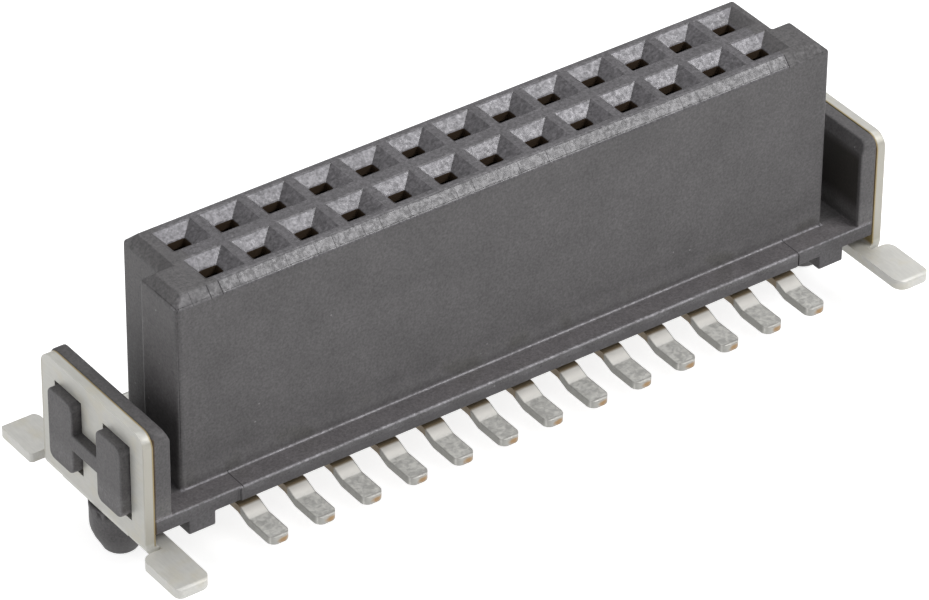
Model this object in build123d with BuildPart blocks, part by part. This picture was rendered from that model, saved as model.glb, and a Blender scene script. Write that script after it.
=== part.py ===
"""Twenty-six way board connector, straight socket, surface mount, two rows on a 1.27 mm grid.

The board's surface is z = 0, and the origin is there, midway between the rows and the two ends.
X runs along the rows and Y across them, with the front row at negative Y. Sizes are millimetres.
"""
from build123d import *
import os

# Contact grid
pitch = 1.27
row_spacing = 1.27
columns = 13

# Heights above the board
body_top = 6.10
ledge_top = 0.97
base_underside = 0.57
standoff_height = 0.20
wall_top = 3.33

# Housing body: its front half is the longer one, so that the mate goes on one way round
front_end_margin = 1.49
rear_end_margin = 0.97
side_margin = 0.865
top_chamfer = 0.25
body_corner_radius = 0.13

# Base bar round the body
ledge_width = 0.60
insert_step = 0.04
insert_end_margin = 0.31

# Upright end walls and the slots between them and the body
end_slot = 0.62
wall_thickness = 0.46
wall_corner_radius = 0.25
lead_in_depth = 0.30
lead_in_width = 0.13

# Socket cavities
funnel_rib = 0.36
funnel_depth = 0.23
entry_length = 0.47
entry_width = 0.31
roof_thickness = 0.25
cavity_rib_x = 0.65
cavity_rib_y = 0.37

# Stand-off blocks under the four corners of the base
standoff_length = 0.72
standoff_depth = 0.90
standoff_slot_gap = 0.43

# Locating pegs, a little wider where they grow from the base
peg_root_radius = 0.74
peg_radius = 0.70
peg_shank_top = -0.06
peg_tip_radius = 0.40
peg_shank_end = -0.56
peg_tip = -1.13
peg_shoulder_round = 0.80
peg_inset = 0.39

# Hold-down plates, stamped from sheet
sheet = 0.25
bend_radius = 0.10
plate_corner_radius = 0.35
plate_lower_edge = 0.22
plate_leg_length = 0.75
foot_tip_outer_radius = 0.18
foot_tip_inner_radius = 0.28
foot_tip_round = 0.10
fit_clearance = 0.03

# Front feet of the plates
front_foot_width = 0.91
front_foot_overhang = 0.22
front_foot_reach = 1.61
front_foot_relief = 0.10
front_heel_radius = 0.25

# Rear feet, which begin further out and have a sharper heel
rear_foot_width = 0.98
rear_foot_overhang = 0.18
rear_foot_reach = 1.68
rear_foot_relief = 0.32
rear_heel_radius = 0.10

# H-shaped boss that holds each plate, and the plate's window, which hangs a little low round it
boss_leg_pitch = 1.98
boss_leg_width = 1.01
boss_leg_height = 1.95
boss_bridge_height = 0.44
boss_bridge_drop = 0.055
boss_centre_z = 1.815
boss_stand_out = 0.24
boss_corner_radius = 0.20
window_clearance = 0.04
window_drop = 0.03

# Contacts
tail_width = 0.55
tail_thickness = 0.20
tail_reach = 1.18
tail_knee_out = 0.26
tail_knee_in = 0.14
tail_rise = 0.15
tail_bend_radius = 0.20
tail_tip_radius = 0.20
tail_tip_round = 0.06
root_height = 0.95
root_thickness = 0.30
beam_width = 0.42
beam_thickness = 0.12
beam_gap = 0.20
beam_throat_drop = 0.65
beam_flare = 0.10
beam_flare_length = 0.35
contact_clearance = 0.02

# Places that follow from the sizes above
row_half_length = (columns - 1) * pitch / 2
front_half_length = row_half_length + front_end_margin
rear_half_length = row_half_length + rear_end_margin
body_half_depth = row_spacing / 2 + side_margin
base_half_depth = body_half_depth + ledge_width
wall_inner = front_half_length + end_slot
base_half_length = wall_inner + wall_thickness
plate_inner = base_half_length
plate_outer = plate_inner + sheet
peg_x = base_half_length - peg_inset
standoff_outer = wall_inner - standoff_slot_gap
cavity_length = pitch - cavity_rib_x
cavity_width = row_spacing - cavity_rib_y
cavity_roof = body_top - funnel_depth - roof_thickness
insert_half_length = row_half_length + insert_end_margin


def funnel_profile(mouth, entry):
    """Sketch the funnel's upright section, from the width of its mouth down to that of the entry."""
    Polygon(
        (mouth / 2, body_top),
        (-mouth / 2, body_top),
        (-entry / 2, body_top - funnel_depth),
        (entry / 2, body_top - funnel_depth),
        align=None,
    )


def make_cavity():
    """One socket cavity at the grid's centre: lead-in funnel, entry slot and contact chamber."""
    with BuildPart() as cavity:
        # Four-sided funnel, where the sections along and across the rows meet
        with BuildSketch(Plane.XZ):
            funnel_profile(pitch - funnel_rib, entry_length)
        extrude(amount=row_spacing / 2, both=True)
        with BuildSketch(Plane.YZ):
            funnel_profile(row_spacing - funnel_rib, entry_width)
        extrude(amount=pitch / 2, both=True, mode=Mode.INTERSECT)
        with BuildSketch(Plane.XY.offset(cavity_roof)):
            Rectangle(entry_length, entry_width)
        extrude(amount=roof_thickness)
        with BuildSketch(Plane.XY.offset(base_underside)):
            Rectangle(cavity_length, cavity_width)
        extrude(amount=cavity_roof - base_underside)
    return cavity.part


def h_outline(centre_z, grow):
    """Sketch the H of the boss on the plane in use, larger all round by grow."""
    with Locations((-boss_leg_pitch / 2, centre_z), (boss_leg_pitch / 2, centre_z)):
        Rectangle(boss_leg_width + 2 * grow, boss_leg_height + 2 * grow)
    with Locations((0, centre_z - boss_bridge_drop)):
        Rectangle(boss_leg_pitch, boss_bridge_height + 2 * grow)


def body_plan():
    """Sketch the body's plan on the plane in use: a long front half and a shorter rear half."""
    with Locations((0, -body_half_depth / 2)):
        Rectangle(2 * front_half_length, body_half_depth)
    with Locations((0, body_half_depth / 2)):
        Rectangle(2 * rear_half_length, body_half_depth)


def make_body():
    """The block that holds the cavities: chamfered round the top, its upright corners rounded."""
    with BuildPart() as body:
        with BuildSketch(Plane.XY.offset(ledge_top)):
            body_plan()
        extrude(amount=body_top - ledge_top)
        chamfer(body.faces().sort_by(Axis.Z)[-1].edges(), top_chamfer)
        with BuildSketch(Plane.XY.offset(ledge_top)) as rounded:
            body_plan()
            fillet(rounded.vertices(), body_corner_radius)
        extrude(amount=body_top - ledge_top, mode=Mode.INTERSECT)
    return body.part


cavity_tool = make_cavity()
body_block = make_body()

with BuildPart() as housing:
    # Base bar, with the strip between the outer tails standing a little proud
    with BuildSketch(Plane.XY.offset(base_underside)):
        Rectangle(2 * base_half_length, 2 * base_half_depth)
        Rectangle(2 * insert_half_length, 2 * (base_half_depth + insert_step))
    extrude(amount=ledge_top - base_underside)

    add(body_block)

    # End walls, rounded at the top corners, with a lead-in on the side of the mate
    for side in (-1, 1):
        wall_plane = Plane(origin=(side * wall_inner, 0, 0), x_dir=(0, side, 0), z_dir=(side, 0, 0))
        with BuildSketch(wall_plane) as wall_face:
            with Locations((0, (base_underside + wall_top) / 2)):
                Rectangle(2 * base_half_depth, wall_top - base_underside)
            fillet(wall_face.vertices().group_by(Axis.Y)[-1], wall_corner_radius)
        extrude(amount=wall_thickness)
        lead_plane = Plane(origin=(0, 0, 0), x_dir=(side, 0, 0), z_dir=(0, -side, 0))
        with BuildSketch(lead_plane):
            with BuildLine():
                Polyline(
                    (wall_inner, wall_top - lead_in_depth),
                    (wall_inner + lead_in_width, wall_top),
                    (wall_inner, wall_top),
                    close=True,
                )
            make_face()
        extrude(amount=base_half_depth, both=True, mode=Mode.SUBTRACT)

        # H-shaped boss on the outside of the wall
        with BuildSketch(wall_plane.offset(wall_thickness)) as boss:
            h_outline(boss_centre_z, 0)
            boss_ends = boss.vertices().group_by(Axis.Y)
            fillet(boss_ends[0] + boss_ends[-1], boss_corner_radius)
        extrude(amount=sheet + boss_stand_out)

        # Locating peg, with a flat where the plate passes it
        peg_plane = Plane(origin=(side * peg_x, 0, 0), x_dir=(side, 0, 0), z_dir=(0, -side, 0))
        with BuildSketch(peg_plane) as peg_profile:
            with BuildLine():
                Polyline(
                    (0, base_underside),
                    (peg_root_radius, base_underside),
                    (peg_radius, peg_shank_top),
                    (peg_radius, peg_shank_end),
                    (peg_tip_radius, peg_tip),
                    (0, peg_tip),
                    close=True,
                )
            make_face()
            fillet(peg_profile.vertices().group_by(Axis.Y)[1], peg_shoulder_round)
        revolve(axis=Axis((side * peg_x, 0, 0), (0, 0, 1)))
        with BuildSketch(Plane.XY.offset(plate_lower_edge - fit_clearance)):
            with Locations((side * (plate_inner + peg_radius), 0)):
                Rectangle(2 * peg_radius, 2 * peg_radius)
        extrude(amount=base_underside - plate_lower_edge + fit_clearance, mode=Mode.SUBTRACT)

    # Stand-off blocks
    with BuildSketch(Plane.XY.offset(standoff_height)):
        with GridLocations(
            2 * standoff_outer - standoff_length, 2 * base_half_depth - standoff_depth, 2, 2
        ):
            Rectangle(standoff_length, standoff_depth)
    extrude(amount=base_underside - standoff_height)

    # Socket cavities
    with GridLocations(pitch, row_spacing, columns, 2):
        add(cavity_tool, mode=Mode.SUBTRACT)


def tip_round(end, tip_y, top, radius):
    """Sketch, across Y and Z, what a round takes off the top edge of a strip's tip."""
    with Locations((end * (tip_y - radius / 2), top - radius / 2)):
        Rectangle(radius, radius)
    with Locations((end * (tip_y - radius), top - radius)):
        Circle(radius, mode=Mode.SUBTRACT)


def make_hold_down(side):
    """One plate: an upright with the window, bent inwards at the bottom to a foot at each end."""
    upright = Plane(origin=(side * plate_inner, 0, 0), x_dir=(0, side, 0), z_dir=(side, 0, 0))
    leg_start = base_half_depth - plate_leg_length
    feet = (
        (-1, front_foot_width, front_foot_overhang, front_foot_reach, front_foot_relief, front_heel_radius),
        (1, rear_foot_width, rear_foot_overhang, rear_foot_reach, rear_foot_relief, rear_heel_radius),
    )
    with BuildPart() as hold_down:
        # The upright between the legs, which stops above the board to clear the peg
        with BuildSketch(upright):
            with Locations((0, (plate_lower_edge + wall_top) / 2)):
                Rectangle(2 * leg_start, wall_top - plate_lower_edge)
        extrude(amount=sheet)
        for end, width, overhang, reach, relief, heel_radius in feet:
            foot_inner = plate_outer + overhang - width
            foot_x = side * (foot_inner + width / 2)
            foot_start = base_half_depth + relief
            foot_tip_y = base_half_depth + reach
            neck_length = plate_inner - bend_radius - foot_inner
            neck_x = side * (foot_inner + neck_length / 2)
            # Each end of the upright runs down into a bent leg, a strip along a bent path
            leg_middle = end * (leg_start + plate_leg_length / 2)
            with BuildSketch(Plane(origin=(0, leg_middle, 0), x_dir=(side, 0, 0), z_dir=(0, -side, 0))):
                with BuildLine():
                    FilletPolyline(
                        (foot_inner, sheet / 2),
                        (plate_inner + sheet / 2, sheet / 2),
                        (plate_inner + sheet / 2, wall_top),
                        radius=bend_radius + sheet / 2,
                    )
                trace(line_width=sheet)
            extrude(amount=plate_leg_length / 2, both=True)
            # Foot, joined to the leg by a narrower neck beside the bend
            with BuildSketch(Plane.XY) as foot:
                with Locations((foot_x, end * (foot_start + foot_tip_y) / 2)):
                    Rectangle(width, foot_tip_y - foot_start)
                heel = foot.vertices().sort_by(Axis.Y, reverse=end < 0)[:2]
                fillet(heel.sort_by(Axis.X, reverse=side < 0)[-1], heel_radius)
                tip = foot.vertices().sort_by(Axis.Y, reverse=end < 0)[-2:]
                fillet(tip.sort_by(Axis.X, reverse=side < 0)[-1], foot_tip_outer_radius)
                tip = foot.vertices().sort_by(Axis.Y, reverse=end < 0)[-2:]
                fillet(tip.sort_by(Axis.X, reverse=side < 0)[0], foot_tip_inner_radius)
                with Locations((neck_x, end * (base_half_depth + foot_start) / 2)):
                    Rectangle(neck_length, relief)
            extrude(amount=sheet)
            with BuildSketch(Plane.YZ.offset(foot_x)):
                tip_round(end, foot_tip_y, sheet, foot_tip_round)
            extrude(amount=width, both=True, mode=Mode.SUBTRACT)
        top_corners = hold_down.edges().filter_by(Axis.X).group_by(Axis.Z)[-1]
        fillet(top_corners, plate_corner_radius)
        # Window for the boss
        with BuildSketch(upright):
            h_outline(boss_centre_z - window_drop, window_clearance)
        extrude(amount=sheet, mode=Mode.SUBTRACT)
    return hold_down.part


def make_contact(x, side):
    """One contact: gull-wing tail, pressed root, and two sprung beams that close on the pin."""
    plane = Plane(origin=(x, 0, 0), x_dir=(0, side, 0), z_dir=(side, 0, 0))
    row = row_spacing / 2
    reach = base_half_depth + tail_reach
    half = tail_thickness / 2
    stem = row + cavity_width / 2 - contact_clearance - half
    beam_foot = cavity_width / 2 - contact_clearance - beam_thickness / 2
    beam_base = root_height + root_thickness
    throat = beam_gap / 2 + beam_thickness / 2
    throat_z = cavity_roof - contact_clearance - beam_throat_drop
    with BuildPart() as contact:
        # Tail, a strip along a bent path, with a stem that rises into the chamber
        with BuildSketch(plane):
            with BuildLine():
                FilletPolyline(
                    (reach, half),
                    (base_half_depth + tail_knee_out, half),
                    (base_half_depth - tail_knee_in, half + tail_rise),
                    (stem - half, half + tail_rise),
                    radius=tail_bend_radius,
                )
            trace(line_width=tail_thickness)
            with Locations((stem, (tail_rise + root_height) / 2)):
                Rectangle(tail_thickness, root_height - tail_rise)
        extrude(amount=tail_width / 2, both=True)
        tip = contact.faces().sort_by(Axis.Y)[-1 if side > 0 else 0]
        fillet(tip.edges().filter_by(Axis.Z), tail_tip_radius)
        with BuildSketch(Plane.YZ.offset(x)):
            tip_round(side, reach, tail_thickness, tail_tip_round)
        extrude(amount=tail_width, both=True, mode=Mode.SUBTRACT)
        # Root, pressed between the sides of the chamber
        with BuildSketch(plane):
            with Locations((row, root_height + root_thickness / 2)):
                Rectangle(cavity_width - 2 * contact_clearance, root_thickness)
        extrude(amount=cavity_length / 2, both=True)
        # Beams, sprung towards each other at the throat and flared above it
        with BuildSketch(plane):
            for hand in (-1, 1):
                with BuildLine():
                    Polyline(
                        (row + hand * beam_foot, beam_base - half),
                        (row + hand * throat, throat_z),
                        (row + hand * (throat + beam_flare), throat_z + beam_flare_length),
                    )
                trace(line_width=beam_thickness)
        extrude(amount=beam_width / 2, both=True)
    return contact.part


os.makedirs("parts", exist_ok=True)

housing.part.label = "housing"
export_step(housing.part, "parts/housing.step")

for name, side in (("left", -1), ("right", 1)):
    plate = make_hold_down(side)
    plate.label = f"hold_down_{name}"
    export_step(plate, f"parts/{plate.label}.step")

for name, side in (("front", -1), ("rear", 1)):
    for number in range(columns):
        contact = make_contact(-row_half_length + number * pitch, side)
        contact.label = f"contact_{name}_{number + 1:02d}"
        export_step(contact, f"parts/{contact.label}.step")
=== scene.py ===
"""A two-row surface-mount board connector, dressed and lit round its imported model.

Lengths are millimetres in the row frame: X along the contact rows, Y across them, Z up from the
board's surface. They are turned to metres only where a mesh, a lamp or the camera is made.
"""
import logging
import math
from collections.abc import Mapping
from dataclasses import dataclass, fields
from enum import Enum
from functools import cached_property

import bpy
import numpy as np
from mathutils import Matrix, Vector


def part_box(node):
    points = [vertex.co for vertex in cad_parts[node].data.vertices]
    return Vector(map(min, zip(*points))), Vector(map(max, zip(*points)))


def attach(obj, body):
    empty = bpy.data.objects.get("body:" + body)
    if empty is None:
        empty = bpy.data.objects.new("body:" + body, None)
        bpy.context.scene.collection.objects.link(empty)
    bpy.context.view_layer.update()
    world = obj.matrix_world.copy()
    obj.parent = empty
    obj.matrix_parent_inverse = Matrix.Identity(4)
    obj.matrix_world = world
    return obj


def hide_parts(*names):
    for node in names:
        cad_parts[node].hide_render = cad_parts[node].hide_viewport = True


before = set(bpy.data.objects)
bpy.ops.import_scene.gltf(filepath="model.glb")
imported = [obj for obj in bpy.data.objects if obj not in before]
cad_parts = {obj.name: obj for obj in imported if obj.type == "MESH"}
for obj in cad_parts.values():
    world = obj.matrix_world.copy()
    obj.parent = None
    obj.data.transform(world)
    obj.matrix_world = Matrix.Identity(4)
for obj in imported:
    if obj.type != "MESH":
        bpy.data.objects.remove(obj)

LOG = logging.getLogger("connector")
PHOTO_WIDTH = 929
WHITE = "#ffffff"
MM = 0.001

# The contact grid is square: the rows lie half a pitch either side of the middle
PITCH = 1.27
ROW = PITCH / 2
COLUMNS = 13
# The open end of a span, which the object never reaches
FAR = 99.0

Socket = bpy.types.NodeSocket
Range = tuple[float, float]
Span = tuple[float, float, float]


class Slot(Enum):
    """The record's material slots."""

    HOUSING = "housing"
    HOLD_DOWN = "hold_down"
    CONTACT = "contact"


def linear(colour: str) -> tuple[float, float, float, float]:
    """Turn an sRGB hex colour into the linear one that a node takes.

    Args:
        colour: A colour such as "#605e61".

    Returns:
        Linear red, green and blue from 0 to 1, and an alpha of 1.
    """
    values = [int(colour[place:place + 2], 16) / 255 for place in (1, 3, 5)]
    red, green, blue = (v / 12.92 if v <= 0.04045 else ((v + 0.055) / 1.055) ** 2.4 for v in values)
    return red, green, blue, 1.0


def add_node(tree: bpy.types.NodeTree, kind: str, inputs: Mapping | None = None, output: int | str = 0,
             **settings: object) -> Socket:
    """Add a node to a tree, with its settings, values and links.

    Args:
        tree: The node tree.
        kind: The node's type, without the leading "ShaderNode".
        inputs: Input sockets by name or number, each with a value or with the socket that feeds it.
        output: The output socket to hand back, by name or number.
        **settings: The node's own properties.

    Returns:
        The chosen output socket, or the first input where the node has no outputs.
    """
    node = tree.nodes.new("ShaderNode" + kind)
    for name, value in settings.items():
        setattr(node, name, value)
    for name, value in (inputs or {}).items():
        if isinstance(value, Socket):
            tree.links.new(value, node.inputs[name])
        else:
            node.inputs[name].default_value = value
    return node.outputs[output] if node.outputs else node.inputs[0]


def window(tree: bpy.types.NodeTree, value: Socket, low: float, high: float, soft: float) -> Socket:
    """Make a mask that is one where a value lies between two others, with soft ends.

    The mask is one smooth step up at the low end times one smooth step down at the high end.

    Args:
        tree: The node tree.
        value: The value to test, such as a height in millimetres.
        low: Where the mask begins.
        high: Where it ends.
        soft: The width of each step.

    Returns:
        The mask, from 0 to 1.
    """
    rise = add_node(tree, "MapRange", {"Value": value, "From Min": low - soft / 2, "From Max": low + soft / 2},
                    interpolation_type="SMOOTHSTEP")
    fall = add_node(tree, "MapRange", {"Value": value, "From Min": high - soft / 2, "From Max": high + soft / 2,
                                       "To Min": 1.0, "To Max": 0.0}, interpolation_type="SMOOTHSTEP")
    return add_node(tree, "Math", {0: rise, 1: fall}, operation="MULTIPLY")


@dataclass(frozen=True)
class Stretch:
    """One range of values carried over to another, in a straight line."""

    taken: Range = (0.0, 1.0)
    given: Range = (0.0, 1.0)

    def of(self, value: Socket) -> dict[str, object]:
        """Give the input sockets with which a Map Range node does this.

        Args:
            value: The value to carry over.

        Returns:
            The sockets, as for add_node.
        """
        return {"Value": value, "From Min": self.taken[0], "From Max": self.taken[1],
                "To Min": self.given[0], "To Max": self.given[1]}


@dataclass(frozen=True)
class Region:
    """A box on the object, with soft faces. It is open in each direction that has no span.

    A span is where the box begins, where it ends and how wide its soft faces are. Side and out are
    distances from the middle, along the rows and across them. Aside is the distance along the rows
    from the nearest column of contacts.
    """

    x: Span | None = None
    side: Span | None = None
    aside: Span | None = None
    out: Span | None = None
    z: Span | None = None


class Sheet:
    """A material's node tree, with the places on the object and the colour that is laid down so far."""

    def __init__(self, name: str, ground: str) -> None:
        """Start the material.

        Args:
            name: What the material is in the real object, and how its surface was made.
            ground: The colour under all others, sRGB hex.
        """
        self.material = bpy.data.materials.new(name)
        self.material.use_nodes = True
        self.tree = self.material.node_tree
        self.tree.nodes.clear()
        self.colour = linear(ground)
        place = add_node(self.tree, "TexCoord", output="Object")
        self.place = add_node(self.tree, "VectorMath", {0: place, "Scale": 1 / MM}, operation="SCALE")
        self.x = add_node(self.tree, "SeparateXYZ", {0: self.place})
        self.y, self.z = self.x.node.outputs[1], self.x.node.outputs[2]

    @cached_property
    def side(self) -> Socket:
        """Distance from the middle, along the rows."""
        return add_node(self.tree, "Math", {0: self.x}, operation="ABSOLUTE")

    @cached_property
    def out(self) -> Socket:
        """Distance from the middle, across the rows."""
        return add_node(self.tree, "Math", {0: self.y}, operation="ABSOLUTE")

    @cached_property
    def offset(self) -> Socket:
        """Signed distance from the nearest column, x less a whole number of pitches: a column is at x = 0."""
        count = add_node(self.tree, "Math", {0: self.x, 1: PITCH}, operation="DIVIDE")
        nearest = add_node(self.tree, "Math", {0: count}, operation="ROUND")
        centre = add_node(self.tree, "Math", {0: nearest, 1: PITCH}, operation="MULTIPLY")
        return add_node(self.tree, "Math", {0: self.x, 1: centre}, operation="SUBTRACT")

    @cached_property
    def aside(self) -> Socket:
        """Distance from the nearest column."""
        return add_node(self.tree, "Math", {0: self.offset}, operation="ABSOLUTE")

    def mask(self, region: Region, *narrower: Socket) -> Socket:
        """Make the mask of a region: the windows of its spans, multiplied together.

        Args:
            region: The region.
            *narrower: Other masks to multiply it by.

        Returns:
            The mask, from 0 to 1.
        """
        spans = {field.name: getattr(region, field.name) for field in fields(region)}
        windows = [window(self.tree, getattr(self, name), *span) for name, span in spans.items() if span]
        mask, *others = *windows, *narrower
        for other in others:
            mask = add_node(self.tree, "Math", {0: mask, 1: other}, operation="MULTIPLY")
        return mask

    def paint(self, *coats: tuple[Socket, str]) -> None:
        """Lay coats of colour over what is there, in order.

        Args:
            *coats: For each coat the mask of where it shows, and its sRGB hex colour.
        """
        for mask, colour in coats:
            self.colour = add_node(self.tree, "Mix", {0: mask, 6: self.colour, 7: linear(colour)}, output=2,
                                   data_type="RGBA")

    def shade(self, *levels: Socket) -> None:
        """Make what is there lighter and darker.

        Args:
            *levels: Values that multiply the colour, in order.
        """
        for level in levels:
            self.colour = add_node(self.tree, "Mix", {0: 1.0, 6: self.colour, 7: level}, output=2,
                                   data_type="RGBA", blend_type="MULTIPLY")

    def finish(self, inputs: Mapping) -> bpy.types.Material:
        """End the material with its surface shader, which takes the colour that was laid down.

        Args:
            inputs: The shader's other sockets, as for add_node.

        Returns:
            The material.
        """
        shader = add_node(self.tree, "BsdfPrincipled", {"Base Color": self.colour, **inputs})
        add_node(self.tree, "OutputMaterial", {"Surface": shader})
        return self.material


@dataclass(frozen=True)
class Funnel:
    """A funnel as it shows: its four edges at the entry slot and at the mouth, from the column's centre.

    Its right-hand wall lies flatter than in the solids, which leaves a thin rib before the next one.
    """

    left: Range = (-0.238, -0.462)
    right: Range = (0.238, 0.585)
    half_across: Range = (0.158, 0.458)
    height: Range = (5.87, 6.10)


@dataclass(frozen=True)
class MouldedPolymer:
    """Glass-filled liquid crystal polymer, black, injection moulded in a spark-eroded tool.

    Short glass fibres at the skin turn the black to a dull pale grey with a fine random grain. The core
    insert that forms the crown is polished, so the chamfers and the funnels' far walls catch the lamp
    and show the melt's mottle, and the far walls carry a painted highlight as well. The joints of the
    insert and of its pins leave thin witness lines. The foot of the long walls is painted paler, a
    painted light against the shade near the ledge, with a few dark clouds, and the ledge's edges carry
    a broken painted highlight. The end walls' inner faces and the gap round the plates' windows carry
    painted shadows.
    """

    body: str = "#595758"
    crown: str = "#605e61"
    outside: str = "#636163"
    ledge: str = "#6e6a6c"
    base: str = "#545254"
    # A painted highlight on the funnels' forward walls, and painted shadows on the end walls' inner faces and in
    # the gap round the plates' windows
    facing: str = "#88868b"
    pocket_shadow: str = "#302d2a"
    gap_shadow: str = "#4e3c26"
    dust: str = "#a19fa1"
    # A painted light at the walls' foot, its dark clouds, and a painted highlight on the ledge's edges
    chalk: str = "#757374"
    smudge: str = "#474640"
    rim: str = "#a09ea3"
    joint: str = "#3c3a3c"
    chamber: str = "#3d2e1e"

    roughness: float = 0.56
    polished: float = 0.29
    joint_roughness: float = 0.85
    chamber_roughness: float = 0.95
    ior: float = 1.47
    relief: float = 0.25
    relief_mm: float = 0.007

    # The fibres are a hundredth of a millimetre thick, and the tool's texture not much coarser. Both are
    # too fine to show, so the grain is drawn a few hundredths wide.
    grain_mm: float = 0.055
    cell_mm: float = 0.10
    cloud_mm: float = 0.9
    dust_apart_mm: float = 0.8
    streak_width_mm: float = 0.14
    streak_length_mm: float = 1.6

    # How much lighter and darker each pattern makes the colour, how the flow streaks fade with x, and how
    # much the cells change the roughness
    grain_level: Stretch = Stretch((0.3, 0.7), (0.76, 1.24))
    cloud_level: Stretch = Stretch((0.3, 0.7), (0.89, 1.11))
    cell_level: Stretch = Stretch((0.3, 0.7), (0.92, 1.08))
    crown_level: Stretch = Stretch((0.36, 0.64), (0.78, 1.24))
    streak_fade: Stretch = Stretch((-8.8, -4.5), (0.22, 0.03))
    gloss_speckle: Stretch = Stretch((0.35, 0.65), (0.09, -0.09))

    # How much of a colour shows: the painted light at the walls' foot, its dark clouds, the painted highlight on
    # the ledge's edges, dust and the pins' broken lines
    painted_light_cover: float = 0.6
    dark_cloud_cover: Stretch = Stretch((0.54, 0.64), (0.0, 0.5))
    edge_highlight_cover: Stretch = Stretch((0.36, 0.6), (0.25, 0.75))
    dust_cover: Stretch = Stretch((0.035, 0.022), (0.0, 0.5))
    pin_line_cover: Stretch = Stretch((0.38, 0.6), (0.0, 0.6))
    # What is left beyond the insert of the crown's mottle, and of its polish at the left end
    mottle_beyond: float = 0.35
    polish_beyond: float = 0.45

    # The insert's ends along X, with one joint more outside it, and the distance of the pins' joints
    # from their column. Half widths of the lines follow.
    insert: Range = (-7.86, 7.91)
    insert_soft: float = 0.02
    spare_joint: float = -8.17
    pin_joint: float = 0.24
    insert_line: float = 0.012
    spare_line: float = 0.010
    pin_line: float = 0.008
    line_soft: float = 0.016
    pin_line_soft: float = 0.018

    # How far the mask of a funnel's wall goes past the wall, across the rows and in height, at the slot
    # and at the mouth, and the span of the wall's width that it fills
    funnel: Funnel = Funnel()
    wall_across: Range = (-0.008, 0.004)
    wall_height: Range = (-0.010, -0.015)
    wall_width: Span = (-0.965, 0.965, 0.03)
    wall_soft: float = 0.01

    # Where the block's front half and its rear half end along the rows, and where the step between them
    # begins and ends across the rows
    half_end: Range = (9.11, 8.59)
    half_step: Range = (-0.1, 0.1)
    half_soft: float = 0.02

    # The places that have a colour or a finish of their own
    crown_part: Region = Region(z=(5.845, FAR, 0.02))
    chamfers: Region = Region(out=(1.26, FAR, 0.03), z=(5.845, FAR, 0.02))
    grid: Region = Region(side=(-FAR, 8.22, 0.02))
    chambers: Region = Region(side=(-FAR, 8.22, 0.01), out=(-FAR, 1.12, 0.01), z=(0.6, 5.86, 0.01))
    wall_foot: Region = Region(z=(1.0, 1.45, 0.5))
    ledge_top: Region = Region(out=(1.44, FAR, 0.02), z=(0.945, 1.05, 0.02))
    ledge_round: Region = Region(out=(1.44, FAR, 0.02), z=(0.80, 1.05, 0.02))
    ledge_rim: Region = Region(out=(2.085, FAR, 0.03), z=(0.925, 1.0, 0.02))
    ledge_root: Region = Region(out=(1.45, 1.54, 0.02), z=(0.95, 1.01, 0.02))
    ledge_joint: Region = Region(z=(0.93, 1.03, 0.02))
    base_front: Region = Region(out=(1.9, FAR, 0.03), z=(-FAR, 0.95, 0.03))
    end_wall_inside: Region = Region(side=(9.6, 9.76, 0.02), out=(-FAR, 2.0, 0.06), z=(1.0, 2.95, 0.3))
    plate_gap: Region = Region(side=(10.15, 10.24, 0.03), z=(0.4, 3.2, 0.05))

    def joints(self, sheet: Sheet, cloud: Socket) -> Socket:
        """Draw the witness lines of the insert and of its pins.

        The insert's own joints cross the chamfers and the ledge at its two ends, and one more crosses
        the chamfers outside it. The pins' joints cross the chamfers only, at a fixed distance either
        side of each column, and fade in and out.

        Args:
            sheet: The material at hand.
            cloud: A slow noise that breaks the pins' lines.

        Returns:
            The mask of the lines, the greatest of their own masks.
        """
        tree = sheet.tree
        chamfers = sheet.mask(self.chamfers)
        seam = add_node(tree, "Math", {0: chamfers, 1: sheet.mask(self.ledge_joint)}, operation="MAXIMUM")
        broken = add_node(tree, "MapRange", self.pin_line_cover.of(cloud))
        beside_pins = (self.pin_joint - self.pin_line, self.pin_joint + self.pin_line, self.pin_line_soft)
        lines = sheet.mask(Region(aside=beside_pins), chamfers, broken)
        for place, half, across in (
            (self.insert[0], self.insert_line, seam),
            (self.insert[1], self.insert_line, seam),
            (self.spare_joint, self.spare_line, chamfers),
        ):
            line = sheet.mask(Region(x=(place - half, place + half, self.line_soft)), across)
            lines = add_node(tree, "Math", {0: lines, 1: line}, operation="MAXIMUM")
        return lines

    def facing_walls(self, sheet: Sheet) -> Socket:
        """Pick out the funnels' walls that face forwards, where the painted highlight goes.

        Such a wall is a trapezium. Its centre moves aside and its half width grows in a straight line
        with height, and a point is on it where its distance from the centre is below the half width.

        Args:
            sheet: The material at hand.

        Returns:
            The mask of the walls.
        """
        tree, funnel = sheet.tree, self.funnel
        centres = tuple((right + left) / 2 for left, right in zip(funnel.left, funnel.right))
        halves = tuple((right - left) / 2 for left, right in zip(funnel.left, funnel.right))
        centre = add_node(tree, "MapRange", Stretch(funnel.height, centres).of(sheet.z))
        half = add_node(tree, "MapRange", Stretch(funnel.height, halves).of(sheet.z))
        beside = add_node(tree, "Math", {0: sheet.offset, 1: centre}, operation="SUBTRACT")
        share = add_node(tree, "Math", {0: beside, 1: half}, operation="DIVIDE")
        near, far = (place + past for place, past in zip(funnel.half_across, self.wall_across))
        low, high = (place + past for place, past in zip(funnel.height, self.wall_height))
        front, rear = (window(tree, sheet.y, row + near, row + far, self.wall_soft) for row in (-ROW, ROW))
        either_row = add_node(tree, "Math", {0: front, 1: rear}, operation="MAXIMUM")
        return sheet.mask(self.grid, window(tree, sheet.z, low, high, self.wall_soft), either_row,
                          window(tree, share, *self.wall_width))

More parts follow.
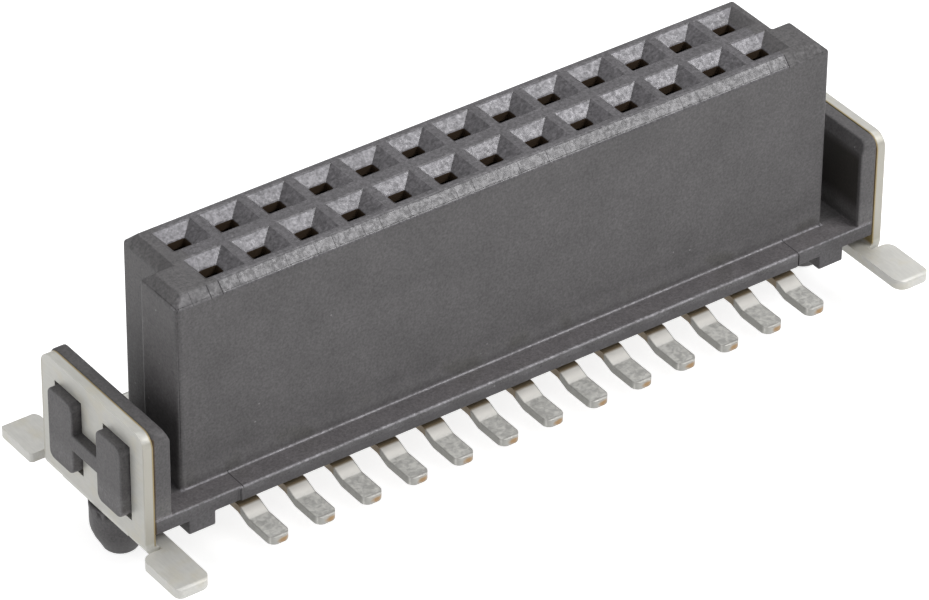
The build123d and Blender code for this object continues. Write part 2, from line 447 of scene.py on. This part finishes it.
    def lay_colours(self, sheet: Sheet, cells: Socket, cloud: Socket, left: Socket, beyond: Socket) -> None:
        """Lay down the colours of the moulding's places.

        Args:
            sheet: The material at hand.
            cells: The melt's mottle, a noise.
            cloud: A slow noise.
            left: The mask of what lies left of the insert.
            beyond: The mask of what lies beyond the insert at either end.
        """
        tree = sheet.tree
        painted_light_mask = add_node(tree, "Math", {0: sheet.mask(self.wall_foot), 1: self.painted_light_cover}, operation="MULTIPLY")
        patches = add_node(tree, "MapRange", self.dark_cloud_cover.of(cloud))
        highlight_breaks = add_node(tree, "MapRange", self.edge_highlight_cover.of(cells))
        # The rear half ends short of the front half: adding the difference lets one end do for both
        front_end, rear_end = self.half_end
        short = add_node(tree, "MapRange", Stretch(self.half_step, (0.0, front_end - rear_end)).of(sheet.y))
        reach = add_node(tree, "Math", {0: sheet.side, 1: short}, operation="ADD")
        on_block = window(tree, reach, -FAR, front_end, self.half_soft)
        sheet.paint(
            (sheet.mask(self.crown_part), self.crown),
            # Beyond the insert the crown is as rough as the walls, and only the left end's chamfer is pale
            (sheet.mask(self.crown_part, beyond), self.body),
            (sheet.mask(self.chamfers, left), self.outside),
            # The base bar's front is in the shade of the ledge
            (sheet.mask(self.base_front), self.base),
            (sheet.mask(self.ledge_top), self.ledge),
            # A painted highlight: the funnels' walls that face forwards are painted pale, nearly silvery
            (self.facing_walls(sheet), self.facing),
            # A painted shadow: the end walls' inner faces, in the narrow gap beside the block, are painted dark
            (sheet.mask(self.end_wall_inside), self.pocket_shadow),
            # A painted shadow: the gap between the end walls and the plates' windows is painted a dark brown
            (sheet.mask(self.plate_gap), self.gap_shadow),
            # A painted light: the foot of the walls is painted paler against the shade near the ledge
            (painted_light_mask, self.chalk),
            # Dark clouds at the foot of the walls, over the painted light
            (sheet.mask(self.wall_foot, patches), self.smudge),
            # A painted highlight, broken by the cells, along the ledge's front edge and along its root beside the
            # block
            (sheet.mask(self.ledge_rim, highlight_breaks), self.rim),
            (sheet.mask(self.ledge_root, on_block, highlight_breaks), self.rim),
        )

    def build(self) -> bpy.types.Material:
        """Build the material.

        Returns:
            The material, with its pattern on Object coordinates.
        """
        sheet = Sheet("black liquid crystal polymer, spark-eroded mould", self.body)
        tree = sheet.tree
        grain, cells, cloud = (
            add_node(tree, "TexNoise", {"Vector": sheet.place, "Scale": 1 / size, "Detail": detail,
                                        "Distortion": twist})
            for size, detail, twist in ((self.grain_mm, 4.0, 0.0), (self.cell_mm, 3.0, 0.4),
                                        (self.cloud_mm, 3.0, 0.0))
        )
        crown = sheet.mask(self.crown_part)
        insert = sheet.mask(Region(x=(*self.insert, self.insert_soft)))
        left = sheet.mask(Region(x=(-FAR, self.insert[0], self.insert_soft)))
        beyond = add_node(tree, "Math", {0: 1.0, 1: insert}, operation="SUBTRACT")
        self.lay_colours(sheet, cells, cloud, left, beyond)

        # Grain, clouds and cells are everywhere; the flow streaks only show near the block's left end
        streaks = add_node(tree, "TexNoise", {
            "Vector": add_node(tree, "Mapping", {
                "Vector": sheet.place,
                "Scale": (1 / self.streak_width_mm, 1 / self.streak_width_mm, 1 / self.streak_length_mm),
            }),
            "Scale": 1.0, "Detail": 2.0,
        })
        swing = add_node(tree, "Math", {0: streaks, 1: 0.5}, operation="SUBTRACT")
        near_end = add_node(tree, "MapRange", self.streak_fade.of(sheet.x))
        # The crown's mottle is a coarse one of light and dark cells, and weaker beyond the insert
        mottle = add_node(tree, "MapRange", self.crown_level.of(cells))
        part = add_node(tree, "MapRange", Stretch(given=(self.mottle_beyond, 1.0)).of(insert))
        sheet.shade(
            add_node(tree, "MapRange", self.grain_level.of(grain)),
            add_node(tree, "MapRange", self.cloud_level.of(cloud)),
            add_node(tree, "Math", {0: swing, 1: near_end, 2: 1.0}, operation="MULTIPLY_ADD"),
            add_node(tree, "MapRange", self.cell_level.of(cells)),
            add_node(tree, "Mix", {0: sheet.mask(self.crown_part, part), 2: 1.0, 3: mottle}, data_type="FLOAT"),
        )
        # A few pale specks of dust and burr, small and far apart
        seed = add_node(tree, "TexVoronoi", {"Vector": sheet.place, "Scale": 1 / self.dust_apart_mm},
                        output="Distance")
        sheet.paint((add_node(tree, "MapRange", self.dust_cover.of(seed)), self.dust))

        # The polished surfaces are the crown, less so at its left end, and the ledge's rounded edges
        formed = add_node(tree, "Math", {0: crown, 1: sheet.mask(self.ledge_round)}, operation="MAXIMUM")
        along = add_node(tree, "Math", {0: left, 1: self.polish_beyond, 2: insert}, operation="MULTIPLY_ADD")
        shine = add_node(tree, "Math", {0: formed, 1: along}, operation="MULTIPLY")
        rough = add_node(tree, "MapRange", Stretch(given=(self.roughness, self.polished)).of(shine))
        speckle = add_node(tree, "MapRange", self.gloss_speckle.of(cells))
        rough = add_node(tree, "Math", {0: speckle, 1: formed, 2: rough}, operation="MULTIPLY_ADD")

        # The joints, and then the chambers: hardly any light comes back from them, and the contacts tint it
        for mask, colour, dull in (
            (self.joints(sheet, cloud), self.joint, self.joint_roughness),
            (sheet.mask(self.chambers), self.chamber, self.chamber_roughness),
        ):
            sheet.paint((mask, colour))
            rough = add_node(tree, "MapRange", {"Value": mask, "To Min": rough, "To Max": dull})

        skin = add_node(tree, "TexNoise", {"Vector": sheet.place, "Scale": 1 / self.grain_mm, "Detail": 1.0})
        bump = add_node(tree, "Bump", {"Height": skin, "Strength": self.relief, "Distance": self.relief_mm * MM})
        return sheet.finish({"Roughness": rough, "IOR": self.ior, "Normal": bump})


@dataclass(frozen=True)
class TinnedSheet:
    """Copper alloy sheet, stamped and plated with matte tin.

    The plating scatters light almost as paper does, with a soft sheen and a slight cloudiness. The
    feet are painted paler, a painted light on their up-facing tops. The sheared edges are duller than
    the rolled face. Next to the wall they are thinly covered and show a line of the tan alloy.
    """

    tin: str = "#cccbc5"
    # A painted light: the feet are painted paler than the plates
    painted_light_feet: str = "#dad9d4"
    warm: str = "#c8c1ab"
    sheared: str = "#bbb8ae"
    alloy: str = "#9c8a60"

    metallic: float = 0.25
    cloud_mm: float = 0.5
    rub_mm: float = 0.06
    rub_stretch: float = 5.0
    rub_turn: float = 0.5

    # What the mottle, clouds and rubs together, does to the colour and to the roughness, and how much
    # of the warm colour shows in the clouds
    level: Stretch = Stretch((0.7, 1.3), (0.93, 1.05))
    roughness: Stretch = Stretch((0.7, 1.3), (0.39, 0.51))
    warm_cover: Stretch = Stretch((0.48, 0.7), (0.0, 0.4))

    feet: Region = Region(z=(-FAR, 0.3, 0.1))
    outer_edges: Region = Region(out=(2.05, FAR, 0.04), z=(0.4, FAR, 0.1))
    wall_edges: Region = Region(side=(10.0, 10.225, 0.04), z=(0.3, FAR, 0.1))

    def build(self) -> bpy.types.Material:
        """Build the material.

        Returns:
            The material, with its pattern on Object coordinates.
        """
        sheet = Sheet("matte tin on stamped copper alloy plate", self.tin)
        tree = sheet.tree
        cloud = add_node(tree, "TexNoise", {"Vector": sheet.place, "Scale": 1 / self.cloud_mm, "Detail": 3.0})
        rubs = add_node(tree, "TexNoise", {
            "Vector": add_node(tree, "Mapping", {
                "Vector": sheet.place, "Rotation": (0.0, 0.0, self.rub_turn),
                "Scale": (1 / self.rub_mm, 1 / self.rub_stretch / self.rub_mm, 1 / self.rub_mm),
            }),
            "Scale": 1.0, "Detail": 2.0,
        })
        mottle = add_node(tree, "Math", {0: cloud, 1: rubs}, operation="ADD")
        sheet.paint(
            # A painted light on the feet
            (sheet.mask(self.feet), self.painted_light_feet),
            (add_node(tree, "MapRange", self.warm_cover.of(cloud)), self.warm),
        )
        sheet.shade(add_node(tree, "MapRange", self.level.of(mottle)))
        sheet.paint(
            (sheet.mask(self.outer_edges), self.sheared),
            (sheet.mask(self.wall_edges), self.alloy),
        )
        rough = add_node(tree, "MapRange", self.roughness.of(mottle))
        return sheet.finish({"Metallic": self.metallic, "Roughness": rough})


@dataclass(frozen=True)
class TinnedContact:
    """Copper alloy strip, stamped and formed, with matte tin on the tail and gold flash on the beams.

    The tails are mottled grey where the reel rubbed them, carry a painted highlight at the bend and are
    dull on the sheared sides and tip. Where a tail goes under the base it is painted a darker brown,
    partly a brown tint and partly painted shade, and the tip shows bare copper in a spot beside its
    middle.
    """

    tin: str = "#dbdad5"
    # A painted highlight on the slanted bend
    bend: str = "#ece9e3"
    sheared: str = "#a6a5a0"
    # Under the base: a brown tint, darkened by painted shade
    tint_and_shade: str = "#8a7a62"
    beam: str = "#9a7846"
    copper: str = "#a5804f"

    metallic: float = 0.25
    cloud_mm: float = 0.13
    # What the mottle does to the colour and to the roughness
    level: Stretch = Stretch((0.35, 0.65), (0.76, 1.16))
    roughness: Stretch = Stretch((0.35, 0.65), (0.34, 0.52))
    tip_dullness: float = 0.75

    bend_part: Region = Region(out=(1.94, 2.36, 0.22))
    sides: Region = Region(aside=(0.255, FAR, 0.04))
    under_base: Region = Region(out=(-FAR, 2.04, 0.08))
    beams: Region = Region(z=(0.75, FAR, 0.1))

    # The cut tip's distance from the middle, and the spot's centre and half width on it. The spot's edge
    # is where its own distance, in half widths, and the mottle add up to less than about one and a half.
    tip_out: float = 3.20
    spot_aside: float = 0.07
    spot_z: float = 0.08
    spot_half: float = 0.15
    spot_cover: Stretch = Stretch((1.8, 1.0), (0.0, 0.9))

    def spot(self, sheet: Sheet, cloud: Socket) -> Socket:
        """Pick out the bare copper: an oval spot, with an outline that the mottle makes ragged.

        It is right of the middle on the front tails, and the rear ones are their half-turned copies.
        The offset times y, over the tip's own y, is the place across the tip.

        Args:
            sheet: The material at hand.
            cloud: The mottle.

        Returns:
            The mask of the spot, not yet kept to the tip.
        """
        tree = sheet.tree
        turned = add_node(tree, "Math", {0: sheet.offset, 1: sheet.y}, operation="MULTIPLY")
        places = (-self.tip_out * self.spot_aside, -self.tip_out * (self.spot_aside + self.spot_half))
        across = add_node(tree, "MapRange", Stretch(places).of(turned), clamp=False)
        heights = (self.spot_z, self.spot_z + self.spot_half / 2)
        above = add_node(tree, "MapRange", Stretch(heights).of(sheet.z), clamp=False)
        away = add_node(tree, "VectorMath", {0: add_node(tree, "CombineXYZ", {0: across, 1: above})},
                        output="Value", operation="LENGTH")
        ragged = add_node(tree, "Math", {0: cloud, 1: away}, operation="ADD")
        return add_node(tree, "MapRange", self.spot_cover.of(ragged))

    def build(self) -> bpy.types.Material:
        """Build the material.

        Returns:
            The material, with its pattern on Object coordinates.
        """
        sheet = Sheet("matte tin on stamped copper alloy contact", self.tin)
        tree = sheet.tree
        cloud = add_node(tree, "TexNoise", {"Vector": sheet.place, "Scale": 1 / self.cloud_mm, "Detail": 4.0,
                                            "Distortion": 0.6})
        sheet.shade(add_node(tree, "MapRange", self.level.of(cloud)))
        tip = sheet.mask(Region(out=(self.tip_out, FAR, 0.05)))
        dull = add_node(tree, "Math", {0: tip, 1: self.tip_dullness}, operation="MULTIPLY")
        cut = add_node(tree, "Math", {0: sheet.mask(self.sides), 1: dull}, operation="MAXIMUM")
        bare = add_node(tree, "Math", {0: self.spot(sheet, cloud), 1: tip}, operation="MULTIPLY")
        sheet.paint(
            # A painted highlight on the slanted bend
            (sheet.mask(self.bend_part), self.bend),
            (cut, self.sheared),
            # Under the base the tails take a brown tint, darkened by painted shade
            (sheet.mask(self.under_base), self.tint_and_shade),
            (sheet.mask(self.beams), self.beam),
            (bare, self.copper),
        )
        rough = add_node(tree, "MapRange", self.roughness.of(cloud))
        return sheet.finish({"Metallic": self.metallic, "Roughness": rough})


@dataclass(frozen=True)
class SoftEdges:
    """The small radius that a mould or a stamping die leaves on every edge.

    Where it is held back, the smallest face limits the radius on the whole piece. The moulding has
    such small faces that it isn't, and its edge angle leaves out the pegs' short root tapers.
    """

    radius_mm: float
    held_back: bool = True
    segments: int = 2
    weld_mm: float = 0.0005
    flat_degrees: float = 1.0
    edge_degrees: float = 25.0

    def put_on(self, piece: bpy.types.Object) -> None:
        """Round a piece's edges with modifiers, which leave its mesh as it is.

        Its loose triangles are joined, flat ones are merged into whole faces, and the edges between
        faces that meet at more than the edge angle are rounded.

        Args:
            piece: The piece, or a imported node.
        """
        weld = piece.modifiers.new("join", "WELD")
        weld.merge_threshold = self.weld_mm * MM
        flat = piece.modifiers.new("flats", "DECIMATE")
        flat.decimate_type = "DISSOLVE"
        flat.angle_limit = math.radians(self.flat_degrees)
        soft = piece.modifiers.new("edges", "BEVEL")
        soft.width = self.radius_mm * MM
        soft.segments = self.segments
        soft.limit_method = "ANGLE"
        soft.angle_limit = math.radians(self.edge_degrees)
        soft.use_clamp_overlap = self.held_back
        soft.harden_normals = True


@dataclass(frozen=True)
class FunnelMouths:
    """The funnels' right-hand walls, cut flatter than they are in the solids.

    One cutter takes the extra plastic off the moulding. It is a frustum for each funnel: its rectangle
    grows in a straight line from the entry slot's to the mouth's, and it begins just above the slot
    and ends just above the mouth, so that no two faces coincide. On the other three sides it takes off
    3 micrometres, so that no step is left at a corner.
    """

    funnel: Funnel = Funnel()
    share: Range = (0.02, 1.12)

    def put_on(self, piece: bpy.types.Object) -> bpy.types.Object:
        """Make the cutter and let it cut.

        Args:
            piece: The moulding.

        Returns:
            The cutter, which the piece's modifier needs until the modifier is applied.
        """
        funnel, share = self.funnel, np.array(self.share)
        left, right, half, height = (low + share * (high - low) for low, high in (
            funnel.left, funnel.right, funnel.half_across, funnel.height))
        corners = np.array([[(left[k], -half[k], height[k]), (right[k], -half[k], height[k]),
                             (right[k], half[k], height[k]), (left[k], half[k], height[k])]
                            for k in (0, 1)]).reshape(-1, 3)
        faces = np.array([(3, 2, 1, 0), (4, 5, 6, 7), (0, 1, 5, 4), (1, 2, 6, 5), (2, 3, 7, 6), (3, 0, 4, 7)])
        columns = (np.arange(COLUMNS) - (COLUMNS - 1) / 2) * PITCH
        places = np.array([(x, y, 0.0) for y in (-ROW, ROW) for x in columns])
        points = (places[:, None, :] + corners[None]).reshape(-1, 3) * MM
        quads = (faces[None] + len(corners) * np.arange(len(places))[:, None, None]).reshape(-1, 4)
        mesh = bpy.data.meshes.new("funnel mouths")
        mesh.from_pydata(points.tolist(), [], quads.tolist())
        cutter = bpy.data.objects.new("funnel mouths", mesh)
        bpy.context.scene.collection.objects.link(cutter)
        cut = piece.modifiers.new("funnel mouths", "BOOLEAN")
        cut.operation = "DIFFERENCE"
        cut.solver = "EXACT"
        cut.object = cutter
        return cutter


@dataclass(frozen=True)
class Moulding:
    """The housing as it shows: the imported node's own shape, with soft edges and wider funnels."""

    finish: MouldedPolymer
    edges: SoftEdges
    mouths: FunnelMouths

    def build(self) -> bpy.types.Object:
        """Finish the shape of a copy of the housing's node, and let the copy stand for the node.

        Returns:
            The piece.
        """
        piece = bpy.data.objects.new("moulding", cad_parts["housing"].data.copy())
        bpy.context.scene.collection.objects.link(piece)
        self.edges.put_on(piece)
        cutter = self.mouths.put_on(piece)
        graph = bpy.context.evaluated_depsgraph_get()
        mesh = bpy.data.meshes.new_from_object(piece.evaluated_get(graph), preserve_all_data_layers=True,
                                               depsgraph=graph)
        piece.modifiers.clear()
        bpy.data.objects.remove(cutter)
        mesh.materials.clear()
        mesh.materials.append(self.finish.build())
        piece.data = mesh
        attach(piece, "root")
        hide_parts("housing")
        return piece


@dataclass(frozen=True)
class Dressing:
    """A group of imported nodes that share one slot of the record, with its finish and its edges."""

    slot: Slot
    finish: TinnedSheet | TinnedContact
    edges: SoftEdges

    def build(self) -> int:
        """Dress the group's nodes.

        Returns:
            How many nodes were dressed.
        """
        material = self.finish.build()
        nodes = [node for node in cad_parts.values()
                 if node.material_slots[0].name.split(".")[0] == self.slot.value]
        for node in nodes:
            for place in node.material_slots:
                place.material = material
            self.edges.put_on(node)
        return len(nodes)


@dataclass(frozen=True)
class Photographer:
    """Camera fitted to the photograph: where it looks from, and how far off centre it aims."""

    azimuth: float = -35.928
    elevation: float = 35.371
    roll: float = 0.4706
    distance_mm: float = 137.866
    aside_mm: float = 0.2033
    up_mm: float = -1.3177
    focal_pixels: float = 5922.8
    sensor_mm: float = 36.0
    sees_from_m: float = 0.01
    sees_to_m: float = 10.0

    def build(self) -> bpy.types.Object:
        """Make the camera and give it to the scene.

        The camera stands back from the origin along its own axis, and is moved aside and down in its
        own plane by the offsets.

        Returns:
            The camera object.
        """
        azimuth, elevation, roll = (math.radians(v) for v in (self.azimuth, self.elevation, self.roll))
        back = Vector((math.sin(azimuth) * math.cos(elevation), -math.cos(azimuth) * math.cos(elevation),
                       math.sin(elevation)))
        level = Vector((math.cos(azimuth), math.sin(azimuth), 0.0))
        upright = back.cross(level)
        right = level * math.cos(roll) + upright * math.sin(roll)
        up = upright * math.cos(roll) - level * math.sin(roll)
        place = (back * self.distance_mm - right * self.aside_mm - up * self.up_mm) * MM
        camera = bpy.data.cameras.new("camera")
        camera.sensor_width = self.sensor_mm
        camera.lens = self.focal_pixels * self.sensor_mm / PHOTO_WIDTH
        camera.clip_start = self.sees_from_m
        camera.clip_end = self.sees_to_m
        piece = bpy.data.objects.new("camera", camera)
        piece.matrix_world = Matrix.Translation(place) @ Matrix((right, up, back)).transposed().to_4x4()
        bpy.context.scene.collection.objects.link(piece)
        bpy.context.scene.camera = piece
        return piece


@dataclass(frozen=True)
class SoftBox:
    """A square soft lamp that faces the object."""

    name: str
    toward: tuple[float, float, float]
    side_mm: float
    radiance: float
    distance_mm: float = 150.0

    def build(self) -> bpy.types.Object:
        """Make the lamp.

        Its power is the radiance times pi times its area, so the radiance is that of the lamp's face.

        Returns:
            The lamp object.
        """
        lamp = bpy.data.lights.new(self.name, "AREA")
        lamp.shape = "SQUARE"
        lamp.size = self.side_mm * MM
        lamp.energy = self.radiance * math.pi * lamp.size ** 2
        piece = bpy.data.objects.new(self.name, lamp)
        direction = Vector(self.toward).normalized()
        piece.location = direction * self.distance_mm * MM
        piece.rotation_euler = direction.to_track_quat("Z", "Y").to_euler()
        bpy.context.scene.collection.objects.link(piece)
        return piece


@dataclass(frozen=True)
class Studio:
    """White paper floor, pale surround and four soft lamps."""

    floor_z_mm: float
    floor_radius_mm: float = 900.0
    floor_rings: int = 8
    floor_spokes: int = 64
    paper: str = "#dadada"
    paper_glow: float = 0.78
    surround: float = 0.39
    lamps: tuple[SoftBox, ...] = (
        SoftBox("key", toward=(0.48, -0.52, 0.71), side_mm=64.0, radiance=7.2),
        SoftBox("top", toward=(0.3, 0.3, 1.0), side_mm=110.0, radiance=2.1),
        SoftBox("front", toward=(-0.05, -1.0, 0.12), side_mm=80.0, radiance=1.5),
        SoftBox("fill", toward=(-0.85, 0.5, 0.25), side_mm=80.0, radiance=1.75),
    )

    def floor_mesh(self) -> bpy.types.Mesh:
        """Make the floor, a disc: radius times cosine and sine of the angle, over rings that widen outwards.

        Returns:
            The mesh, in metres.
        """
        rings = self.floor_radius_mm * np.linspace(0.0, 1.0, self.floor_rings + 1)[1:] ** 2
        angles = np.linspace(0.0, 2 * np.pi, self.floor_spokes, endpoint=False)
        radius, angle = np.meshgrid(rings, angles, indexing="ij")
        grid = np.stack([radius * np.cos(angle), radius * np.sin(angle),
                         np.full_like(radius, self.floor_z_mm)], axis=-1).reshape(-1, 3)
        points = np.vstack([[[0.0, 0.0, self.floor_z_mm]], grid]) * MM
        count = self.floor_spokes
        here = np.arange(count)
        after = (here + 1) % count
        centre = np.stack([np.zeros(count, int), here + 1, after + 1], axis=1)
        starts = 1 + count * np.arange(len(rings) - 1)[:, None]
        bands = np.stack([starts + here, starts + count + here, starts + count + after, starts + after], axis=-1)
        mesh = bpy.data.meshes.new("floor")
        mesh.from_pydata(points.tolist(), [], centre.tolist() + bands.reshape(-1, 4).tolist())
        return mesh

    def floor_material(self) -> bpy.types.Material:
        """White paper: a matt white that holds the object's shadow and is seen, lit, as pure white.

        Returns:
            The material.
        """
        material = bpy.data.materials.new("white background paper, matt")
        material.use_nodes = True
        tree = material.node_tree
        tree.nodes.clear()
        seen = add_node(tree, "LightPath", output="Is Camera Ray")
        path = seen.node
        for ray in ("Is Glossy Ray", "Is Transmission Ray"):
            seen = add_node(tree, "Math", {0: seen, 1: path.outputs[ray]}, operation="MAXIMUM")
        strength = add_node(tree, "Math", {0: seen, 1: self.paper_glow}, operation="MULTIPLY")
        glow = add_node(tree, "Emission", {"Color": linear(WHITE), "Strength": strength})
        paper = add_node(tree, "BsdfDiffuse", {"Color": linear(self.paper)})
        add_node(tree, "OutputMaterial", {"Surface": add_node(tree, "AddShader", {0: paper, 1: glow})})
        return material

    def build(self) -> None:
        """Make the floor, the surround and the lamps."""
        mesh = self.floor_mesh()
        mesh.materials.append(self.floor_material())
        floor = bpy.data.objects.new("floor", mesh)
        bpy.context.scene.collection.objects.link(floor)

        # Seen straight or through glass the surround is white, and it lights the object more softly
        world = bpy.data.worlds.new("surround")
        bpy.context.scene.world = world
        world.use_nodes = True
        tree = world.node_tree
        tree.nodes.clear()
        path = add_node(tree, "LightPath", output="Is Camera Ray")
        seen = add_node(tree, "Math", {0: path, 1: path.node.outputs["Is Transmission Ray"]}, operation="MAXIMUM")
        strength = add_node(tree, "MapRange", Stretch(given=(self.surround, 1.0)).of(seen))
        sky = add_node(tree, "Background", {"Color": linear(WHITE), "Strength": strength})
        add_node(tree, "OutputWorld", {"Surface": sky})

        for lamp in self.lamps:
            lamp.build()


def main() -> None:
    """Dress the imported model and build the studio, the lamps and the camera."""
    logging.basicConfig(level=logging.INFO, format="%(name)s %(message)s")
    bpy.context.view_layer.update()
    bpy.context.scene.view_settings.view_transform = "Standard"

    camera = Photographer().build()
    LOG.info("camera: lens %.1f mm", camera.data.lens)

    mould_edges = SoftEdges(radius_mm=0.045, held_back=False, edge_degrees=35.5)
    moulding = Moulding(MouldedPolymer(), mould_edges, FunnelMouths()).build()
    LOG.info("%s: %d faces", moulding.name, len(moulding.data.polygons))

    stamped_edges = SoftEdges(radius_mm=0.08, segments=3)
    for dressing in (
        Dressing(Slot.HOLD_DOWN, TinnedSheet(), stamped_edges),
        Dressing(Slot.CONTACT, TinnedContact(), stamped_edges),
    ):
        LOG.info("%s: %d nodes dressed", dressing.slot.value, dressing.build())

    # The floor lies a hair below the pegs, so that their tips don't share its plane
    floor_z_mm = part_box("housing")[0].z / MM - 0.01
    Studio(floor_z_mm).build()
    LOG.info("studio: floor at %.2f mm", floor_z_mm)


if __name__ == "__main__":
    main()
